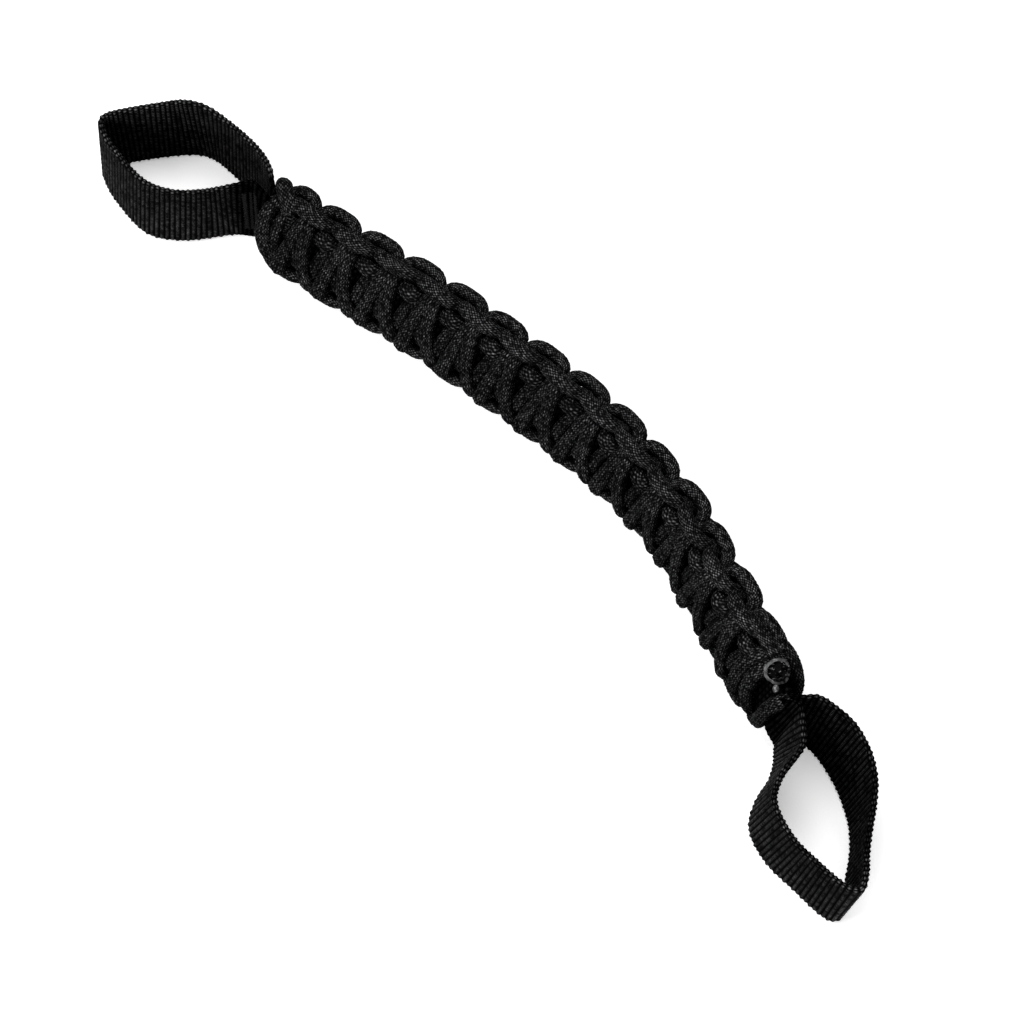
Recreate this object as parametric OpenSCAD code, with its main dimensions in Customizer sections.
// Woven cord grab handle: a nylon webbing strap with a loop at each end,
// bound along its grip by two layers of cobra-knotted cord.
// The strap stands on its edge: the chord of the two loop tips lies along X,
// Y runs from the near side to the far side and the base is at z = 0.

/* [Grip] */
// Length of the woven grip, measured along its bend
grip_length = 186; // [180:1:192]
// Length of one full knot of the outer cord
knot_pitch = 12.37; // [11.8:0.01:13]
// Half height of the woven section, to the centre of the outer cord
half_high = 9.96; // [9:0.02:10.5]
// Half thickness of the woven section, to the centre of the outer cord
half_thick = 4.2; // [3.6:0.1:4.8]
// Lean of the woven section away from upright: [place along it, degrees]
lean_at = [[0, 31], [88, 31], [121, 17.5], [150, 15.5], [170, 22.5], [186, 25]];
// Height of the middle of the woven section above the base
mid_height = 11.92; // [11.9:0.02:14]

/* [Cord] */
// Width of a pulled, slightly flattened cord
cord_width = 4.2; // [3.4:0.1:4.6]
// Thickness of a pulled, slightly flattened cord
cord_thick = 3.1; // [2.4:0.1:3.6]
// Half height of the inner layer, to the centre of its cord
inner_half_high = 7.2; // [6.6:0.1:7.6]
// Half thickness of the inner layer, to the centre of its cord
inner_half_thick = 2.3; // [2:0.1:2.8]

/* [Webbing] */
// Width of the webbing
web_width = 25.4; // [24:0.1:27]
// Thickness of the webbing
web_thick = 1.6; // [1.2:0.1:1.8]
// Height of the folded webbing inside the grip
fold_height = 12.7; // [11:0.1:13.5]

/* [Flexing] */
// Clear gap left between two neighbouring lengths of the grip
flex_gap = 2.3; // [2:0.1:3]

/* [Hidden] */

near = -1;
far = 1;
lengths = 5;        // lengths the flexible grip is divided into
cord_sides = 6;     // corners round a cord
cord_end_gap = 1.5; // from each end of the grip to the cord
first_knot = 7;     // place of the first outer knot's middle along the grip

// each layer: [half thickness, half height] of its section, [width, thickness] of its cord
outer_half = [half_thick, half_high];
outer_size = [cord_width, cord_thick];
inner_half = [inner_half_thick, inner_half_high];
inner_size = [cord_width * 0.9, cord_thick * 0.85];

// ---- centreline of the grip ----
grip_start = [-90.86, -0.47];
// moves the whole plan so that the origin lies under the middle of the overall box
centre_by = [-0.7, -1.09];

// direction in plan, in degrees: a cubic along the grip, held constant beyond its ends
function heading(along) = let (w = max(0, min(1, along / grip_length)))
    10.75 + 37.2 * w - 127.4 * w * w + 51.2 * w * w * w;
function forward(along) = [cos(heading(along)), sin(heading(along))];

// running sum of 1 mm steps, from path_margin before the grip to path_margin after it
path_margin = 12;
path_steps = ceil(grip_length) + 2 * path_margin;
path = [for (i = 0, p = grip_start - path_margin * forward(0); i <= path_steps;
        i = i + 1, p = p + forward(i - 0.5 - path_margin))
    p];
path_x = [for (i = [0:path_steps]) [i - path_margin, path[i][0]]];
path_y = [for (i = [0:path_steps]) [i - path_margin, path[i][1]]];

// places a point given as [along the grip, through it (near to far), up it]
function put(p) = let (
        turn = heading(p[0]),
        lean = lookup(p[0], lean_at),
        y = p[1] * cos(lean) + p[2] * sin(lean),
        z = p[2] * cos(lean) - p[1] * sin(lean))
    [lookup(p[0], path_x) - sin(turn) * y + centre_by[0],
     lookup(p[0], path_y) + cos(turn) * y + centre_by[1],
     mid_height + z];

// [start, end] of length k, given the gaps left at a grip end and at a joint
function span_of(k, end_gap, joint_gap) = let (each_length = grip_length / lengths)
    [(k - 1) * each_length + (k == 1 ? end_gap : joint_gap),
     k * each_length - (k == lengths ? end_gap : joint_gap)];

// ---- skins ----
function unit(v) = v / max(norm(v), 1e-9);

// faces of a closed skin over rings of n points each, numbered from base
function skin_faces(n, rings, base = 0) = concat(
    [[for (k = [0:n - 1]) base + k]],
    [for (i = [0:rings - 2]) for (k = [0:n - 1]) let (q = base + i * n, j = (k + 1) % n) each
        [[q + k, q + n + j, q + j], [q + k, q + n + k, q + n + j]]],
    [[for (k = [n - 1:-1:0]) base + (rings - 1) * n + k]]);

// ---- cords ----
// one full knot: [along / knot_pitch, through / half thickness, up / half height]
knot = [
    [-0.02, -0.80, -0.98], [-0.11, -1.02, -0.55], [-0.20, -1.04, 0.00], [-0.29, -0.92, 0.48],
    [-0.37, -0.60, 0.80], [-0.40, 0.00, 0.90], [-0.30, 0.62, 0.92], [0.00, 0.98, 0.90],
    [0.30, 0.66, 1.00], [0.42, 0.05, 0.92], [0.40, -0.60, 0.80], [0.30, -0.98, 0.45],
    [0.20, -1.10, 0.00], [0.09, -1.12, -0.58], [-0.02, -0.85, -1.00], [0.08, 0.00, -0.92],
    [0.20, 0.62, -0.95], [0.50, 0.98, -0.90], [0.80, 0.66, -1.00], [0.92, 0.05, -0.92]];

// the far cord is the near cord mirrored through the strap and moved back half a knot
function cord_points(side, shift, half) =
    [for (n = [-1:ceil(grip_length / knot_pitch) + 1]) for (k = knot)
        [(n + k[0] - (side == far ? 0.5 : 0)) * knot_pitch + shift,
         -side * k[1] * half[0],
         k[2] * half[1]]];

// direction out of the section at a point, for a section rounded at its top and bottom edge
function out_of(p, half) = let (
        straight = half[1] - half[0],
        centre_up = max(-straight, min(straight, p[2])))
    unit([0, p[1] + 1e-6, p[2] - centre_up]);

// one ring of a flattened cord round point i of the stretch from first to last
function ring(pts, i, first, last, half, size) = let (
        along = unit(pts[min(last, i + 1)] - pts[max(first, i - 1)]),
        out = out_of(pts[i], half),
        normal = unit(out - (out * along) * along),
        across = cross(along, normal))
    [for (k = [0:cord_sides - 1]) let (angle = 360 * k / cord_sides)
        put(pts[i] + cos(angle) * size[0] / 2 * across + sin(angle) * size[1] / 2 * normal)];

function stretch_rings(pts, first, last, half, size) =
    [for (i = [first:last]) each ring(pts, i, first, last, half, size)];

function inside(p, span) = p[0] > span[0] && p[0] < span[1];

// [first, last] index of each unbroken stretch of a cord within a span of the grip
function stretches(pts, span) = let (
        end = len(pts) - 1,
        firsts = [for (i = [0:end])
            if (inside(pts[i], span) && (i == 0 || !inside(pts[i - 1], span))) i],
        lasts = [for (i = [0:end])
            if (inside(pts[i], span) && (i == end || !inside(pts[i + 1], span))) i])
    [for (k = [0:len(firsts) - 1]) if (lasts[k] > firsts[k]) [firsts[k], lasts[k]]];

// sum of the first k values
function total(values, k) = k <= 0 ? 0 : values[k - 1] + total(values, k - 1);

// the part of a cord within length k: one closed skin for each stretch
module cord(side, k, shift, half, size) {
    pts = cord_points(side, shift, half);
    // clear of each end by half a cord as well as the gap
    span = span_of(k, cord_end_gap + cord_width / 2, flex_gap / 2 + cord_width / 2);
    parts = stretches(pts, span);
    counts = [for (part = parts) part[1] - part[0] + 1];
    points = [for (part = parts) each stretch_rings(pts, part[0], part[1], half, size)];
    faces = [for (i = [0:len(parts) - 1]) each
        skin_faces(cord_sides, counts[i], cord_sides * total(counts, i))];
    polyhedron(points = points, faces = faces, convexity = 12);
}

module outer_cord(side, k) color([0.05, 0.05, 0.055])
    cord(side, k, first_knot, outer_half, outer_size);

// the inner layer's knots lie half a knot along from the outer ones
module inner_cord(side, k) color([0.04, 0.04, 0.045])
    cord(side, k, first_knot + knot_pitch / 2, inner_half, inner_size);

// cord over the top edge at the start of the weave: [along, through, up]
bight = [[5.6, -4.9, 1.5], [4.4, -4.5, 5.5], [3.4, -3.0, 9.4], [3.2, 0.0, 11.0],
    [3.4, 3.0, 9.6], [4.2, 4.6, 5.0], [4.8, 4.8, -2.0], [4.6, 4.4, -6.0]];

module start_bight() color([0.07, 0.07, 0.075])
    polyhedron(points = stretch_rings(bight, 0, len(bight) - 1, outer_half, outer_size),
        faces = skin_faces(cord_sides, len(bight)), convexity = 4);

// cord ends melted shut against the last wraps: [radius, height] of the turned button
melted_profile = [[0, -2.2], [1.9, -2.2], [2.2, -1.0], [2.9, 0.2], [3.1, 0.9], [2.7, 1.5],
    [1.8, 1.3], [0, 0.9]];

module melted_end(place, tilt, turn) color([0.12, 0.12, 0.12])
    translate(put(place)) rotate([0, tilt, turn])
        rotate_extrude($fn = 24) polygon(melted_profile);
module melted_end_near() melted_end([176.2, -1.8, 11.4], tilt = -24, turn = 55);
module melted_end_far() melted_end([175.0, 6.6, 1.4], tilt = 82, turn = 62);

// ---- the webbing folded lengthwise inside the grip ----
strap_end_gap = 1.8;    // from each end of the grip to the strap
strap_joint_extra = 0.2; // added to half the flex gap at each joint
strap_steps = 12;
half_slit = 0.1;        // half the slit between the two walls
corner_in = 0.7;        // cut off each bottom corner, across
corner_up = 1;          // cut off each bottom corner, upward

module core_strap(k) {
    span = span_of(k, strap_end_gap, flex_gap / 2 + strap_joint_extra);
    outside = web_thick + half_slit;
    top = fold_height / 2;
    slit_floor = -top + web_thick;
    // U-shaped section, [through, up]: two walls joined by the fold at the bottom
    section = [[-outside, top], [-outside, -top + corner_up], [-outside + corner_in, -top],
        [outside - corner_in, -top], [outside, -top + corner_up], [outside, top],
        [half_slit, top], [half_slit, slit_floor], [-half_slit, slit_floor], [-half_slit, top]];
    points = [for (i = [0:strap_steps]) for (q = section)
        put([span[0] + (span[1] - span[0]) * i / strap_steps, q[0], q[1]])];
    color([0.03, 0.03, 0.03])
        polyhedron(points = points, faces = skin_faces(len(section), strap_steps + 1),
            convexity = 6);
}

// ---- webbing loops ----
// Catmull-Rom curve through the points, m steps between neighbours
function spline(p, i, t) = let (
        end = len(p) - 1,
        a = p[max(0, i - 1)],
        b = p[i],
        c = p[min(end, i + 1)],
        d = p[min(end, i + 2)])
    0.5 * (2 * b + (c - a) * t + (2 * a - 5 * b + 4 * c - d) * t * t
        + (3 * b - a - 3 * c + d) * t * t * t);
function smooth(p, m) = concat(
    [for (i = [0:len(p) - 2]) for (j = [0:m - 1]) spline(p, i, j / m)], [p[len(p) - 1]]);

// half the webbing thickness, square to the line at point i
function half_web(p, i) =
    let (along = unit(p[min(len(p) - 1, i + 1)] - p[max(0, i - 1)]))
    [-along[1], along[0]] * web_thick / 2;
function raise(p, z) = [p[0], p[1], z];

// webbing on edge between its bottom line at z = 0 and its top line at z = height
module band(bottom, top, height) {
    low = smooth(bottom, 3);
    high = smooth(top, 3);
    points = [for (i = [0:len(low) - 1]) let (u = half_web(low, i), v = half_web(high, i)) each
        [raise(low[i] - u, 0), raise(low[i] + u, 0),
         raise(high[i] + v, height), raise(high[i] - v, height)]];
    translate([centre_by[0], centre_by[1], 0])
        polyhedron(points = points, faces = skin_faces(4, len(low)), convexity = 8);
}

// bottom and top edge of each loop in plan: [x, y]
left_bottom = [[-93.2, -1.8], [-94.9, -3.0], [-98.1, -5.8], [-101.7, -11.5], [-105.9, -16.9],
    [-112.7, -21.4], [-124.3, -20.9], [-130.2, -19.3], [-133.0, -17.2], [-130.9, -11.4],
    [-124.9, -1.9], [-120.7, 3.0], [-116.8, 4.9], [-112.9, 5.4], [-104.0, 5.6],
    [-97.9, 4.3], [-93.4, 2.5]];
left_top = [[-93.2, -1.1], [-94.6, -2.5], [-97.5, -8.2], [-100.3, -12.6], [-104.7, -17.5],
    [-112.0, -20.8], [-123.1, -20.2], [-129.0, -18.9], [-131.9, -16.7], [-130.7, -12.7],
    [-124.8, -2.8], [-122.1, 1.0], [-117.8, 3.8], [-112.0, 5.0], [-103.7, 5.7],
    [-97.9, 5.4], [-93.6, 4.1]];
right_bottom = [[90.0, -0.9], [91.4, -2.1], [94.1, -5.0], [96.5, -9.4], [97.7, -14.0],
    [101.7, -19.9], [110.0, -22.4], [118.3, -22.2], [127.3, -21.9], [130.3, -20.2],
    [128.6, -16.2], [125.2, -11.7], [121.7, -7.0], [117.1, -2.7], [112.9, -0.2],
    [107.3, 2.3], [100.8, 4.0], [95.8, 4.4], [91.6, 3.5]];
right_top = [[93.2, 2.2], [96.0, -0.1], [100.6, -3.9], [101.8, -8.6], [103.0, -13.6],
    [106.6, -18.9], [115.5, -21.7], [122.5, -21.7], [130.5, -21.1], [134.4, -18.9],
    [132.0, -14.9], [129.3, -12.2], [125.4, -7.5], [121.6, -2.4], [117.3, 2.2],
    [111.7, 5.7], [105.0, 7.7], [98.9, 7.4], [94.4, 6.3]];
right_drop = 0.8; // the right loop's top edge is this much lower

module left_loop() color([0.06, 0.06, 0.06]) band(left_bottom, left_top, web_width);
module right_loop() color([0.06, 0.06, 0.06])
    band(right_bottom, right_top, web_width - right_drop);

// ---- two rows of stitching that hold the two legs of each loop together ----
tack_base = 6.5;
tack_high = 13;
tack_row = 0.8;
tack_pitch = 1.3;

module bar_tack(x, y, turn, wide) color([0.08, 0.08, 0.08])
    for (k = [0:1])
        translate([x + centre_by[0], y + centre_by[1], tack_base]) rotate([0, 0, turn])
            translate([-k * tack_pitch, -wide / 2, 0]) cube([tack_row, wide, tack_high]);
module left_bar_tack() bar_tack(x = -94.0, y = 1.0, turn = heading(0), wide = 6.4);
module right_bar_tack() bar_tack(x = 94.9, y = 1.2, turn = -28, wide = 7.0);

left_loop();
right_loop();
left_bar_tack();
right_bar_tack();
core_strap(1);  // core_strap_1
core_strap(2);  // core_strap_2
core_strap(3);  // core_strap_3
core_strap(4);  // core_strap_4
core_strap(5);  // core_strap_5
inner_cord(near, 1);  // inner_cord_near_1
inner_cord(near, 2);  // inner_cord_near_2
inner_cord(near, 3);  // inner_cord_near_3
inner_cord(near, 4);  // inner_cord_near_4
inner_cord(near, 5);  // inner_cord_near_5
inner_cord(far, 1);  // inner_cord_far_1
inner_cord(far, 2);  // inner_cord_far_2
inner_cord(far, 3);  // inner_cord_far_3
inner_cord(far, 4);  // inner_cord_far_4
inner_cord(far, 5);  // inner_cord_far_5
outer_cord(near, 1);  // outer_cord_near_1
outer_cord(near, 2);  // outer_cord_near_2
outer_cord(near, 3);  // outer_cord_near_3
outer_cord(near, 4);  // outer_cord_near_4
outer_cord(near, 5);  // outer_cord_near_5
outer_cord(far, 1);  // outer_cord_far_1
outer_cord(far, 2);  // outer_cord_far_2
outer_cord(far, 3);  // outer_cord_far_3
outer_cord(far, 4);  // outer_cord_far_4
outer_cord(far, 5);  // outer_cord_far_5
start_bight();
melted_end_near();
melted_end_far();
